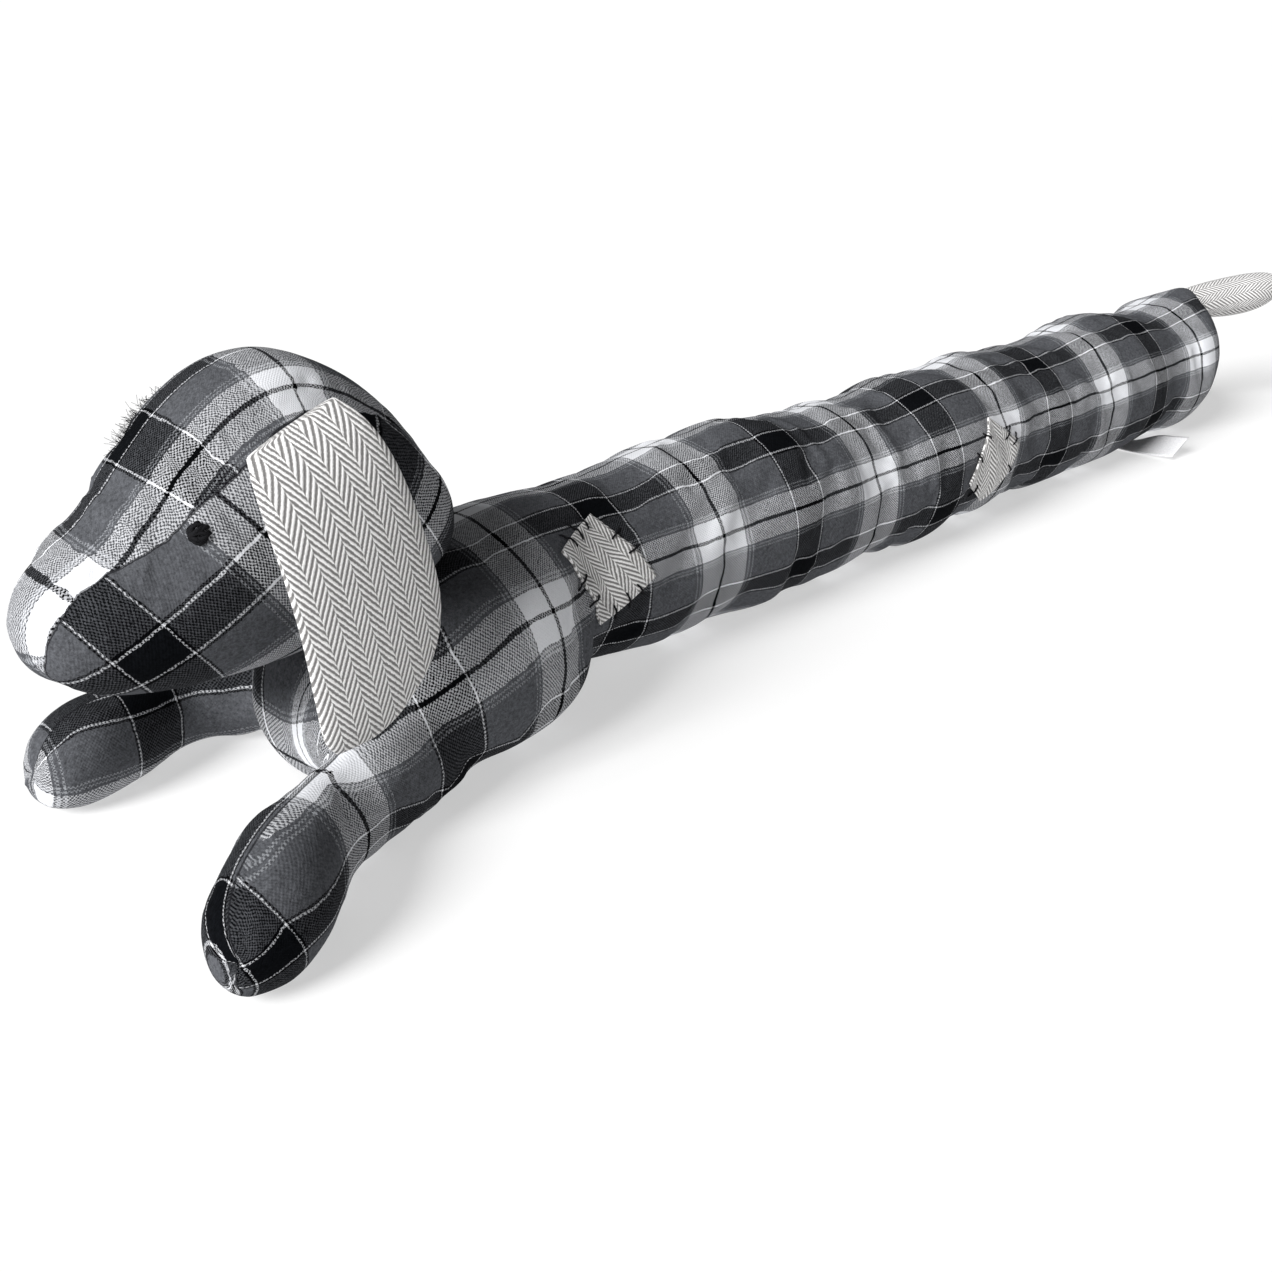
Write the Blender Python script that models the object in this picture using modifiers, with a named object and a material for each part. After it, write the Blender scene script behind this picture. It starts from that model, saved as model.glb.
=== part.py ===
"""A dog-shaped draught excluder: a long stuffed cloth tube with a head, two ears, two front
legs, a short tail and two sewn-on patches. It lies along X, with the head towards -X.

Sizes in the tables are millimetres. The origin is on the flat underside of the tube, halfway
along the dog.
"""

from collections import namedtuple

import bmesh
import bpy
import numpy as np
from mathutils import Vector
from mathutils.bvhtree import BVHTree

MM = 0.001
SEAM_GAP = 0.4  # what separate pieces keep between them where they are sewn together
TUBE_SAG = 1.4  # how far the filled tube would bulge below the floor if the floor were not there
TUBE_LINE = (0.0, 50.0)  # the tube's middle line: where it is across, and its height
HEAD_LINE = (-11.0, 125.0)  # the same for the head
TUBE_RADIUS = 50.0
FAR_OFF = 200.0  # a distance well outside both, to look at their surface from
CUTTERS = "cutters"
PARTS = "draught_excluder_dog"

# A station is one cross-section of a filled piece: where it is, half its width, its lowest and
# highest point, and how square its lower half is (2 is an ellipse).
Station = namedtuple("Station", "along across half_width low high square")
# A flap row runs from the front edge to the back edge of a flat padded piece.
FlapRow = namedtuple("FlapRow", "front_x front_z back_x back_z side thickness")

BODY = [
    Station(-402, -11, 3, 36, 40, 2.0),
    Station(-398, -11, 21, 25, 58, 2.1),
    Station(-389, -12, 37, 12, 73, 2.3),
    Station(-375, -12, 50, 3, 83, 2.5),
    Station(-350, -12, 60, 0, 91, 2.6),
    Station(-314, -12, 65, 0, 97, 2.6),
    Station(-285, -7, 60, 0, 101, 2.6),
    Station(-263, -2, 53, 3, 101, 2.4),
    Station(-246, 0, 47, 8, 99, 2.2),
    Station(-230, 0, 46, 7, 98, 2.1),
    Station(-211, 0, 47.5, 3, 98, 2.0),
    Station(-190, 1, 48, 1, 97, 2.1),
    Station(-165, 1, 49, 0, 100, 2.1),
    Station(-128, 0, 50, 0, 104, 2.1),
    Station(-95, -1, 50, 0, 103, 2.1),
    Station(-58, 0, 49, 0, 98, 2.1),
    Station(-20, 0, 48, 0, 95, 2.1),
    Station(22, -1, 50, 0, 97, 2.1),
    Station(62, -1, 50, 0, 99, 2.1),
    Station(100, 0, 49, 0, 99, 2.1),
    Station(132, 1, 47, 1, 97, 2.0),
    Station(170, 0, 49, 0, 96, 2.1),
    Station(203, 0, 49, 0, 95, 2.1),
    Station(240, -1, 49, 0, 97, 2.1),
    Station(275, -1, 51, 0, 100, 2.1),
    Station(305, 0, 49, 0, 97, 2.1),
    Station(328, 1, 45, 3, 92, 2.0),
    Station(350, 0, 48, 0, 93, 2.1),
    Station(372, -1, 50, 0, 96, 2.1),
    Station(389, -1, 45, 1, 99, 2.1),
    Station(400, -1, 33, 3, 99, 2.1),
    Station(407, -1, 16, 7, 95, 2.1),
    Station(410, -1, 2, 13, 88, 2.0),
]

LEG_LEFT = [
    Station(-318, -30, 24, 0, 62, 2.2),
    Station(-350, -46, 25, 0, 60, 2.3),
    Station(-378, -60, 22, 0, 53, 2.3),
    Station(-401, -69, 18.5, 0, 46, 2.2),
    Station(-421, -78, 19, 0, 44, 2.2),
    Station(-440, -90, 23.5, 0, 46, 2.3),
    Station(-457, -104, 24.5, 0, 46, 2.3),
    Station(-471, -116, 20, 0, 41, 2.2),
    Station(-480, -124, 12, 3, 33, 2.0),
    Station(-485, -129, 3, 12, 20, 2.0),
]

LEG_RIGHT = [
    Station(-318, 14, 24, 0, 62, 2.2),
    Station(-348, 36, 25, 0, 60, 2.3),
    Station(-378, 56, 21, 0, 52, 2.3),
    Station(-402, 64, 18, 0, 44, 2.2),
    Station(-420, 62, 18, 0, 42, 2.2),
    Station(-438, 55, 21.5, 0, 44, 2.3),
    Station(-455, 51, 23, 0, 45, 2.3),
    Station(-468, 48, 21, 0, 42, 2.2),
    Station(-479, 45, 15, 2, 35, 2.1),
    Station(-487, 43, 3, 13, 21, 2.0),
]

HEAD = [
    Station(-496, -11, 3, 107, 113, 2.0),
    Station(-493, -11, 14, 97, 121, 2.0),
    Station(-484, -11, 24, 87, 132, 2.1),
    Station(-469, -11, 32, 79, 144, 2.1),
    Station(-451, -11, 39, 75, 158, 2.2),
    Station(-432, -11, 45, 73, 177, 2.2),
    Station(-410, -11, 49, 72, 192, 2.2),
    Station(-386, -11, 50, 73, 197, 2.2),
    Station(-361, -11, 48, 76, 187, 2.2),
    Station(-341, -11, 43, 82, 170, 2.1),
    Station(-325, -11, 35, 90, 151, 2.1),
    Station(-314, -11, 21, 99, 131, 2.0),
    Station(-310, -11, 3, 111, 117, 2.0),
]

# The left ear, from the edge sewn to the head down to its tip. The right ear mirrors it.
EAR = [
    FlapRow(-414, 170, -376, 185, -47, 5),
    FlapRow(-418, 162, -370, 176, -58, 6),
    FlapRow(-422, 149, -364, 161, -66, 7),
    FlapRow(-421, 131, -359, 138, -72, 8),
    FlapRow(-417, 106, -355, 106, -77, 8),
    FlapRow(-413, 81, -362, 83, -80, 8),
    FlapRow(-410, 64, -378, 66, -81, 7),
    FlapRow(-406, 57, -392, 57, -81, 5),
]
RIGHT_EAR_BACK = 8
RIGHT_EAR_UP = 5

TAIL = [
    Station(398, 0, 8, 77, 97, 2.0),
    Station(412, -2, 10, 76, 99, 2.0),
    Station(431, -7, 12, 74, 101, 2.0),
    Station(450, -14, 14, 73, 103, 2.0),
    Station(467, -23, 14, 75, 105, 2.0),
    Station(480, -31, 11, 80, 105, 2.0),
    Station(488, -36, 6, 87, 101, 2.0),
    Station(490, -38, 2, 91, 97, 2.0),
]

# A patch is a square of cloth turned on its corner: its middle along the tube, its middle round
# the tube in degrees from the top, its two side lengths and how far it is turned.
Patch = namedtuple("Patch", "along around length height turned")
PATCHES = {
    "patch_shoulder": Patch(-236, 64, 38, 46, -26),
    "patch_back": Patch(83, 92, 38, 44, 38),
}
PATCH_THICKNESS = 1.2
PATCH_CELLS = 8

EYE = {"along": -438, "around": 61, "radius": 4.4}

LABEL = {"width": 24.0, "thickness": 0.9}
# The label's middle line over the floor, from the seam under the tube to its free end.
LABEL_LINE = [(309, -14, 1.1), (309, -24, 0.5), (310, -36, 0.4), (311, -49, 0.8), (312, -62, 2.2)]

COLOURS = {
    "check_cloth": (0.10, 0.10, 0.11),
    "herringbone_cloth": (0.62, 0.61, 0.59),
    "black_yarn": (0.01, 0.01, 0.01),
    "label_tape": (0.85, 0.85, 0.85),
}


def clear_scene():
    for obj in list(bpy.data.objects):
        bpy.data.objects.remove(obj)


def collection(name):
    made = bpy.data.collections.new(name)
    bpy.context.scene.collection.children.link(made)
    return made


def cloth(name):
    material = bpy.data.materials.new(name)
    material.use_nodes = True
    shader = material.node_tree.nodes["Principled BSDF"]
    shader.inputs["Base Color"].default_value = (*COLOURS[name], 1)
    shader.inputs["Roughness"].default_value = 0.95
    shader.inputs["Metallic"].default_value = 0
    return material


def smooth_rows(rows, steps):
    """Catmull-Rom through the rows of a table, with this many steps from each row to the next."""
    table = np.array(rows, float)
    padded = np.vstack([2 * table[0] - table[1], table, 2 * table[-1] - table[-2]])
    at = np.linspace(0, len(table) - 1, (len(table) - 1) * steps + 1)
    row = np.minimum(at.astype(int), len(table) - 2)
    t = (at - row)[:, None]
    before, start, end, after = (padded[row + k] for k in range(4))
    bend = 2 * before - 5 * start + 4 * end - after
    twist = 3 * start - before - 3 * end + after
    return start + 0.5 * t * (end - before + t * (bend + t * twist))


def ring_points(stations, angles):
    """Cross-sections of a filled piece, one row each. Each stands upright, square to the piece's
    line seen from above, and is flat where it meets the floor."""
    along, across, half_width, low, high, square = (c[:, None] for c in np.array(stations).T)
    heading = np.stack([np.gradient(along[:, 0]), np.gradient(across[:, 0])], 1)
    heading /= np.linalg.norm(heading, axis=1)[:, None]
    bulge = np.where(low <= 0, TUBE_SAG, 0)
    sine, cosine = np.sin(angles), np.cos(angles)
    power = np.where(cosine > 0, 2.0, square)
    sideways = np.sign(sine) * np.abs(sine) ** (2 / power) * half_width
    upward = np.sign(cosine) * np.abs(cosine) ** (2 / power)
    height = (high + low - bulge) / 2 + upward * (high - low + bulge) / 2
    return np.stack(
        [
            along + heading[:, 1:] * sideways,
            across - heading[:, :1] * sideways,
            np.maximum(height, 0),
        ],
        2,
    )


def mesh_from_rings(name, rings):
    """Joins rings of points into one closed mesh, with a point at each end."""
    rows, around, _ = rings.shape
    mesh = bpy.data.meshes.new(name)
    shape = bmesh.new()
    grid = [[shape.verts.new(p * MM) for p in ring] for ring in rings]
    for row in range(rows - 1):
        for k in range(around):
            after = (k + 1) % around
            corners = [grid[row][k], grid[row][after], grid[row + 1][after], grid[row + 1][k]]
            shape.faces.new(corners)
    for ring in (grid[0], grid[-1]):
        shape.faces.new(ring)
    bmesh.ops.recalc_face_normals(shape, faces=shape.faces)
    shape.to_mesh(mesh)
    shape.free()
    mesh.shade_smooth()
    return mesh


def add_object(name, mesh, group, material=None):
    obj = bpy.data.objects.new(name, mesh)
    group.objects.link(obj)
    if material:
        mesh.materials.append(material)
    else:
        obj.hide_render = True
        obj.display_type = "WIRE"
    return obj


def filled(name, stations, group, material=None, steps=2, around=28, grow=0.0):
    angles = np.linspace(0, 2 * np.pi, around, endpoint=False)
    mesh = mesh_from_rings(name, ring_points(smooth_rows(stations, steps), angles))
    if grow:
        for vertex, normal in zip(mesh.vertices, [n.vector.copy() for n in mesh.vertex_normals]):
            vertex.co += normal * grow * MM
    return add_object(name, mesh, group, material)


def join_or_cut(obj, other, operation):
    modifier = obj.modifiers.new(other.name, "BOOLEAN")
    modifier.operation = operation
    modifier.object = other


def surface_point(obj, line, along, around, lift=0.0):
    """A point on a filled piece, by its distance along the piece's middle line and its angle in
    radians from the top, towards the dog's left, raised off the cloth by lift."""
    surface = BVHTree.FromObject(obj, bpy.context.evaluated_depsgraph_get())
    outward = Vector((0, -np.sin(around), np.cos(around)))
    start = Vector((along, *line)) * MM + outward * FAR_OFF * MM
    place, normal, _, _ = surface.ray_cast(start, -outward)
    return place + normal * lift * MM


def patch(name, facts, body, group, material):
    """A square of cloth laid on the tube, with its lower face a seam's gap off it."""
    turn = np.radians(facts.turned)
    shape = bmesh.new()
    bmesh.ops.create_grid(shape, x_segments=PATCH_CELLS, y_segments=PATCH_CELLS, size=0.5)
    for vertex in shape.verts:
        u = vertex.co.x * facts.length
        v = vertex.co.y * facts.height
        along = facts.along + u * np.cos(turn) - v * np.sin(turn)
        arc = u * np.sin(turn) + v * np.cos(turn)
        around = np.radians(facts.around) + arc / TUBE_RADIUS
        vertex.co = surface_point(body, TUBE_LINE, along, around, SEAM_GAP)
    mesh = bpy.data.meshes.new(name)
    shape.to_mesh(mesh)
    shape.free()
    obj = add_object(name, mesh, group, material)
    sheet = obj.modifiers.new("thickness", "SOLIDIFY")
    sheet.thickness = PATCH_THICKNESS * MM
    return obj


def ear(name, mirrored, group, material):
    """A padded leaf of cloth: rings round each row, from front edge to back edge. The right one
    sits a little further back and higher."""
    rows = smooth_rows(EAR, 2)
    front_x, front_z, back_x, back_z, side, thickness = (c[:, None] for c in rows.T)
    angles = np.linspace(0, 2 * np.pi, 16, endpoint=False)
    share = (1 + np.cos(angles)) / 2
    edge = np.abs(np.sin(angles)) ** 0.7 * np.sign(np.sin(angles))
    across = side + edge * thickness / 2
    along = front_x + share * (back_x - front_x)
    height = front_z + share * (back_z - front_z)
    if mirrored:
        across = 2 * HEAD_LINE[0] - across
        along = along + RIGHT_EAR_BACK
        height = height + RIGHT_EAR_UP
    rings = np.stack([along, across, height], 2)
    return add_object(name, mesh_from_rings(name, rings), group, material)


def eye(name, mirrored, head, group, material):
    """A knot of yarn: a ball with its middle on the cloth at the side of the head."""
    place = surface_point(head, HEAD_LINE, EYE["along"], np.radians(EYE["around"]))
    if mirrored:
        place.y = 2 * HEAD_LINE[0] * MM - place.y
    shape = bmesh.new()
    bmesh.ops.create_uvsphere(shape, u_segments=12, v_segments=8, radius=EYE["radius"] * MM)
    bmesh.ops.translate(shape, verts=shape.verts, vec=place)
    mesh = bpy.data.meshes.new(name)
    shape.to_mesh(mesh)
    shape.free()
    mesh.shade_smooth()
    return add_object(name, mesh, group, material)


def label(group, material):
    """A strip of tape that leaves the seam under the tube and lies on the floor."""
    line = smooth_rows(LABEL_LINE, 3)
    heading = np.gradient(line[:, :2], axis=0)
    heading /= np.linalg.norm(heading, axis=1)[:, None]
    sideways = np.stack([-heading[:, 1], heading[:, 0], np.zeros(len(line))], 1) * LABEL["width"] / 2
    up = np.array([0, 0, LABEL["thickness"]])
    rings = np.stack([line - sideways, line + sideways, line + sideways + up, line - sideways + up], 1)
    return add_object("care_label", mesh_from_rings("care_label", rings), group, material)


def build():
    clear_scene()
    parts, cutters = collection(PARTS), collection(CUTTERS)
    check, herringbone = cloth("check_cloth"), cloth("herringbone_cloth")
    yarn, tape = cloth("black_yarn"), cloth("label_tape")

    body = filled("body", BODY, parts, check)
    for name, stations in (("leg_left", LEG_LEFT), ("leg_right", LEG_RIGHT)):
        join_or_cut(body, filled(name, stations, cutters, around=20), "UNION")
    body_space = filled("body_space", BODY, cutters, grow=SEAM_GAP)
    head_space = filled("head_space", HEAD, cutters, grow=SEAM_GAP)

    head = filled("head", HEAD, parts, check)
    join_or_cut(head, body_space, "DIFFERENCE")
    for side, mirrored in (("left", False), ("right", True)):
        flap = ear("ear_" + side, mirrored, parts, herringbone)
        join_or_cut(flap, head_space, "DIFFERENCE")
        knot = eye("eye_" + side, mirrored, head, parts, yarn)
        join_or_cut(knot, head_space, "DIFFERENCE")
    tail = filled("tail", TAIL, parts, herringbone, around=16)
    join_or_cut(tail, body_space, "DIFFERENCE")
    for name, facts in PATCHES.items():
        patch(name, facts, body, parts, herringbone)
    tag = label(parts, tape)
    join_or_cut(tag, body_space, "DIFFERENCE")


build()
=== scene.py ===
import math

import bmesh
import bpy
import numpy as np
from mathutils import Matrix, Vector
from mathutils.bvhtree import BVHTree


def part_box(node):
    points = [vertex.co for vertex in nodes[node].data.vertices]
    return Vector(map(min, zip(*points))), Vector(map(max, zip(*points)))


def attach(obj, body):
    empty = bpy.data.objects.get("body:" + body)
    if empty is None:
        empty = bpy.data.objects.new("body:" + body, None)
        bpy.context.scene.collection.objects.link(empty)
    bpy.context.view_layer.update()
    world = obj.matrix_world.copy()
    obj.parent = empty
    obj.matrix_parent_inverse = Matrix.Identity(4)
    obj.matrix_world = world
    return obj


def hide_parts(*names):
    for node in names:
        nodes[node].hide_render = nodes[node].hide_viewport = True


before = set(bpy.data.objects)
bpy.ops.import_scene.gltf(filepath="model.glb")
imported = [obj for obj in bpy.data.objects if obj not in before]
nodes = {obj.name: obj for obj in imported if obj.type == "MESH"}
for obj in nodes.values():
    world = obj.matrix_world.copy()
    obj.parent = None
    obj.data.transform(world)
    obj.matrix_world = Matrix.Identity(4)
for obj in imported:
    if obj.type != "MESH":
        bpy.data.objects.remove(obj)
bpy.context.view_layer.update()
scene = bpy.context.scene


# shared helpers

def readVectors(data, key):
    flat = np.empty(len(data) * 3, np.float32)
    data.foreach_get(key, flat)
    return flat.reshape(-1, 3).astype(float)


def readPoints(mesh):
    return readVectors(mesh.vertices, "co")


def writePoints(mesh, points):
    mesh.vertices.foreach_set("co", np.asarray(points, np.float32).ravel())
    mesh.update()


def putAttribute(mesh, name, values):
    values = np.asarray(values, np.float32)
    kind, key = ("FLOAT_VECTOR", "vector") if values.ndim == 2 else ("FLOAT", "value")
    old = mesh.attributes.get(name)
    if old:
        mesh.attributes.remove(old)
    mesh.attributes.new(name, kind, "POINT").data.foreach_set(key, values.ravel())


def newPiece(name, mesh, material):
    piece = bpy.data.objects.new(name, mesh)
    scene.collection.objects.link(piece)
    mesh.materials.clear()
    mesh.materials.append(material)
    mesh.shade_smooth()
    return piece


def applied(piece):
    graph = bpy.context.evaluated_depsgraph_get()
    mesh = bpy.data.meshes.new_from_object(piece.evaluated_get(graph))
    piece.modifiers.clear()
    old = piece.data
    piece.data = mesh
    bpy.data.meshes.remove(old)
    mesh.name = piece.name
    mesh.shade_smooth()
    return mesh


def unit(vectors):
    return vectors / np.linalg.norm(vectors, axis=1)[:, None]


def smoothStep(x, start, end):
    t = np.clip((x - start) / (end - start), 0, 1)
    return t * t * (3 - 2 * t)


# smooth curve through the rows of a table (Catmull-Rom), read at places 0..rows-1
def throughRows(rows, at):
    table = np.array(rows, float)
    padded = np.vstack([2 * table[0] - table[1], table, 2 * table[-1] - table[-2]])
    at = np.asarray(at, float)
    row = np.clip(at.astype(int), 0, len(table) - 2)
    t = (at - row)[..., None]
    before, start, end, after = (padded[row + k] for k in range(4))
    bend = 2 * before - 5 * start + 4 * end - after
    twist = 3 * start - before - 3 * end + after
    return start + 0.5 * t * (end - before + t * (bend + t * twist))


# a grid of points (rows, columns, 3) as a mesh; around closes each row on itself, and caps
# close the first and last rows with one face each
def gridMesh(name, points, around=False, caps=False, uv=None):
    rows, columns, _ = points.shape
    steps = columns if around else columns - 1
    row, column = np.meshgrid(np.arange(rows - 1), np.arange(steps), indexing="ij")
    here, below = row * columns, (row + 1) * columns
    beside = (column + 1) % columns
    quads = np.stack([here + column, here + beside, below + beside, below + column], -1)
    faces = quads.reshape(-1, 4).tolist()
    if caps:
        faces.append(list(range(columns))[::-1])
        faces.append(list(range((rows - 1) * columns, rows * columns)))
    mesh = bpy.data.meshes.new(name)
    mesh.from_pydata(points.reshape(-1, 3).tolist(), [], faces)
    mesh.update()
    if uv is not None:
        putAttribute(mesh, "cloth", uv.reshape(-1, 3))
    work = bmesh.new()
    work.from_mesh(mesh)
    bmesh.ops.recalc_face_normals(work, faces=work.faces)
    work.to_mesh(mesh)
    work.free()
    return mesh


# a round tube carried along a path: each ring is a circle square to the path's direction
def tubeMesh(name, path, radius, sides=8):
    along = unit(np.gradient(path, axis=0))
    helper = np.array([0.13, 0.31, 0.94])
    side = unit(np.cross(along, helper))
    up = np.cross(side, along)
    angle = np.linspace(0, 2 * np.pi, sides, endpoint=False)[None, :, None]
    rings = path[:, None] + radius * (np.cos(angle) * side[:, None] + np.sin(angle) * up[:, None])
    return gridMesh(name, rings, around=True, caps=True)


def joinMeshes(name, meshes):
    work = bmesh.new()
    for mesh in meshes:
        work.from_mesh(mesh)
    joined = bpy.data.meshes.new(name)
    work.to_mesh(joined)
    work.free()
    for mesh in meshes:
        bpy.data.meshes.remove(mesh)
    return joined


# smooth random bumps: a sum of waves of the given length in random directions
def softNoise(points, size, seed, waves=24):
    source = np.random.default_rng(seed)
    direction = unit(source.normal(size=(waves, 3)))
    rate = 2 * np.pi / (size * source.uniform(0.7, 1.5, waves))
    phase = source.uniform(0, 6.28, waves)
    return np.sin(points @ (direction.T * rate) + phase).sum(1) / math.sqrt(waves / 2)


# each point's values averaged with its neighbours', this many times over
def smoothedOver(mesh, values, times):
    edges = np.empty(len(mesh.edges) * 2, np.int32)
    mesh.edges.foreach_get("vertices", edges)
    start, end = edges.reshape(-1, 2).T
    count = np.bincount(edges, minlength=len(values))[:, None] + 1
    out = values.copy()
    for _ in range(times):
        total = out.copy()
        for axis in range(out.shape[1]):
            fromEnds = np.bincount(start, out[end, axis], len(out))
            fromStarts = np.bincount(end, out[start, axis], len(out))
            total[:, axis] += fromEnds + fromStarts
        out = total / count
    return out


sewing = {
    "quality": 6,
    "mass": 0.25,
    "stiffness": 12.0,
    "bending": 0.6,
    "damping": 2,
    "smoothings": 40,  # the more, the longer the wrinkles that are kept
}


# Blender's cloth, blown up from inside and drawn in along its seams; only the fine wrinkles are
# kept, by taking off each point's average with its neighbours, and a point moves at most cap
def inflate(piece, pressure, cap, frames, seamPull, looseness):
    start = readPoints(piece.data)
    group = piece.vertex_groups.new(name="seam")
    pull = np.empty(len(start), np.float32)
    piece.data.attributes["seamPull"].data.foreach_get("value", pull)
    pull = pull.astype(float)
    for level in range(1, 11):
        chosen = np.nonzero((pull * 10).round() == level)[0]
        if len(chosen):
            group.add(chosen.tolist(), level / 10, "REPLACE")
    cloth = piece.modifiers.new("cloth", "CLOTH")
    settings = cloth.settings
    settings.quality = sewing["quality"]
    settings.mass = sewing["mass"]
    settings.tension_stiffness = sewing["stiffness"]
    settings.compression_stiffness = sewing["stiffness"]
    settings.shear_stiffness = sewing["stiffness"] / 2
    settings.bending_stiffness = sewing["bending"]
    settings.air_damping = sewing["damping"]
    settings.use_pressure = True
    settings.uniform_pressure_force = pressure
    settings.effector_weights.gravity = 0
    settings.vertex_group_shrink = "seam"
    settings.shrink_min = -looseness
    settings.shrink_max = seamPull
    cloth.collision_settings.use_collision = False
    cloth.point_cache.frame_start = 1
    cloth.point_cache.frame_end = frames
    for number in range(1, frames + 1):
        scene.frame_set(number)
    mesh = applied(piece)
    piece.vertex_groups.clear()
    moved = readPoints(mesh) - start
    moved -= smoothedOver(mesh, moved, sewing["smoothings"])
    length = np.linalg.norm(moved, axis=1)[:, None]
    writePoints(mesh, start + moved * np.minimum(1, cap / np.maximum(length, 1e-9)))
    scene.frame_set(1)


def thickened(piece, thickness, offset=-1):
    sheet = piece.modifiers.new("thickness", "SOLIDIFY")
    sheet.thickness = thickness
    sheet.offset = offset
    applied(piece)


def surfaceOf(piece):
    return BVHTree.FromObject(piece, bpy.context.evaluated_depsgraph_get())


def finer(piece):
    divide = piece.modifiers.new("finer", "SUBSURF")
    divide.levels = 1
    divide.render_levels = 1
    return applied(piece)


# a CAD solid as an even mesh: merged, remeshed in cubes of this size, and relaxed
def evenCopy(name, node, size, material):
    mesh = nodes[node].data.copy()
    work = bmesh.new()
    work.from_mesh(mesh)
    bmesh.ops.remove_doubles(work, verts=work.verts, dist=0.00002)
    work.to_mesh(mesh)
    work.free()
    piece = newPiece(name, mesh, material)
    remesh = piece.modifiers.new("even", "REMESH")
    remesh.mode = "VOXEL"
    remesh.voxel_size = size
    remesh.use_smooth_shade = True
    relaxer = piece.modifiers.new("relax", "SMOOTH")
    relaxer.factor = 0.5
    relaxer.iterations = 6
    applied(piece)
    return piece


# shader helpers

def startMaterial(name):
    material = bpy.data.materials.new(name)
    material.use_nodes = True
    tree = material.node_tree
    return material, tree, tree.nodes["Principled BSDF"]


def maths(tree, operation, *values):
    made = tree.nodes.new("ShaderNodeMath")
    made.operation = operation
    for socket, value in zip(made.inputs, values):
        if isinstance(value, (int, float)):
            socket.default_value = value
        else:
            tree.links.new(value, socket)
    return made.outputs[0]


def plus(tree, first, second):
    return maths(tree, "ADD", first, second)


def minus(tree, first, second):
    return maths(tree, "SUBTRACT", first, second)


def times(tree, first, second):
    return maths(tree, "MULTIPLY", first, second)


def mixed(tree, amount, first, second, kind="RGBA"):
    made = tree.nodes.new("ShaderNodeMix")
    made.data_type = kind
    at, out = (6, 2) if kind == "RGBA" else (4, 1)
    for index, value in ((0, amount), (at, first), (at + 1, second)):
        if isinstance(value, tuple):
            made.inputs[index].default_value = (*value, 1)
        else:
            tree.links.new(value, made.inputs[index])
    return made.outputs[out]


def attribute(tree, name):
    made = tree.nodes.new("ShaderNodeAttribute")
    made.attribute_name = name
    return made.outputs


def apart(tree, vector):
    made = tree.nodes.new("ShaderNodeSeparateXYZ")
    tree.links.new(vector, made.inputs[0])
    return made.outputs


def noise(tree, vector, scale, detail, roughness=0.5):
    made = tree.nodes.new("ShaderNodeTexNoise")
    made.inputs["Scale"].default_value = scale
    made.inputs["Detail"].default_value = detail
    made.inputs["Roughness"].default_value = roughness
    tree.links.new(vector, made.inputs["Vector"])
    return made.outputs["Fac"]


def ramp(tree, value, stops, smooth=False):
    made = tree.nodes.new("ShaderNodeValToRGB")
    bands = made.color_ramp
    bands.interpolation = "LINEAR" if smooth else "CONSTANT"
    while len(bands.elements) < len(stops):
        bands.elements.new(1)
    for element, (place, colour) in zip(bands.elements, stops):
        element.position = place
        element.color = (*colour, 1)
    tree.links.new(value, made.inputs[0])
    return made.outputs[0]


def coated(tree, shader, colour, roughness, specular=0.5, sheen=0.0):
    tree.links.new(colour, shader.inputs["Base Color"])
    shader.inputs["Roughness"].default_value = roughness
    shader.inputs["Specular IOR Level"].default_value = specular
    shader.inputs["Sheen Weight"].default_value = sheen


def objectPlace(tree):
    return tree.nodes.new("ShaderNodeTexCoord").outputs["Object"]


def bump(tree, height, shader, strength, distance):
    made = tree.nodes.new("ShaderNodeBump")
    made.inputs["Strength"].default_value = strength
    made.inputs["Distance"].default_value = distance
    tree.links.new(height, made.inputs["Height"])
    tree.links.new(made.outputs[0], shader.inputs["Normal"])


# the check cloth

checkCloth = {
    "lengthRepeat": 0.129,  # metres along the tube
    "girthRepeat": 0.075,  # metres round the tube
    "weave": 0.0015,  # from one thread's dot to the next
    "shade": 0.42,  # how much darker a dot of mixed threads is than their average
    "white": (0.72, 0.73, 0.76),
    "pale": (0.29, 0.3, 0.32),
    "grey": (0.08, 0.083, 0.091),
    "charcoal": (0.0035, 0.004, 0.005),
    "black": (0.0012, 0.0012, 0.0015),
    "seamShade": 0.0006,  # half-width of the painted shade line in the groove where two panels meet
    # colour and strength of the painted shade laid along the seam's groove
    "seamShadeColour": (0.01, 0.01, 0.012),
    "seamShadeStrength": 0.75,
    "wobble": 0.0009,  # how far a line strays from straight
    "wobbleScale": 900,
    "grainScale": 1900,
    "waveShare": 0.62,  # the weave's part in which thread lies on top
    "grainShare": 2.4,  # the grain's part in it
    "onTop": (0.95, 1.45),  # from the lengthwise thread hidden to the lengthwise thread on top
    "mottleScale": 620,
    "mottleFrom": (0.3, 0.7),
    "mottle": (0.38, 1.65),  # darkest and lightest freckle
    "relief": 0.0004,
}

# distances in millimetres from the thin black line to the middle of the dark band
lengthStops = [(0, "black"), (0.9, "white"), (16.6, "grey"), (17.6, "pale"), (18.8, "grey"),
               (20.0, "pale"), (21.0, "grey"), (51.4, "black"), (52.5, "white"), (53.4, "charcoal")]
girthStops = [(0, "black"), (0.8, "white"), (9.8, "grey"), (10.7, "pale"), (11.6, "grey"),
              (12.4, "pale"), (13.2, "grey"), (29.5, "black"), (30.5, "white"), (31.4, "charcoal")]


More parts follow.
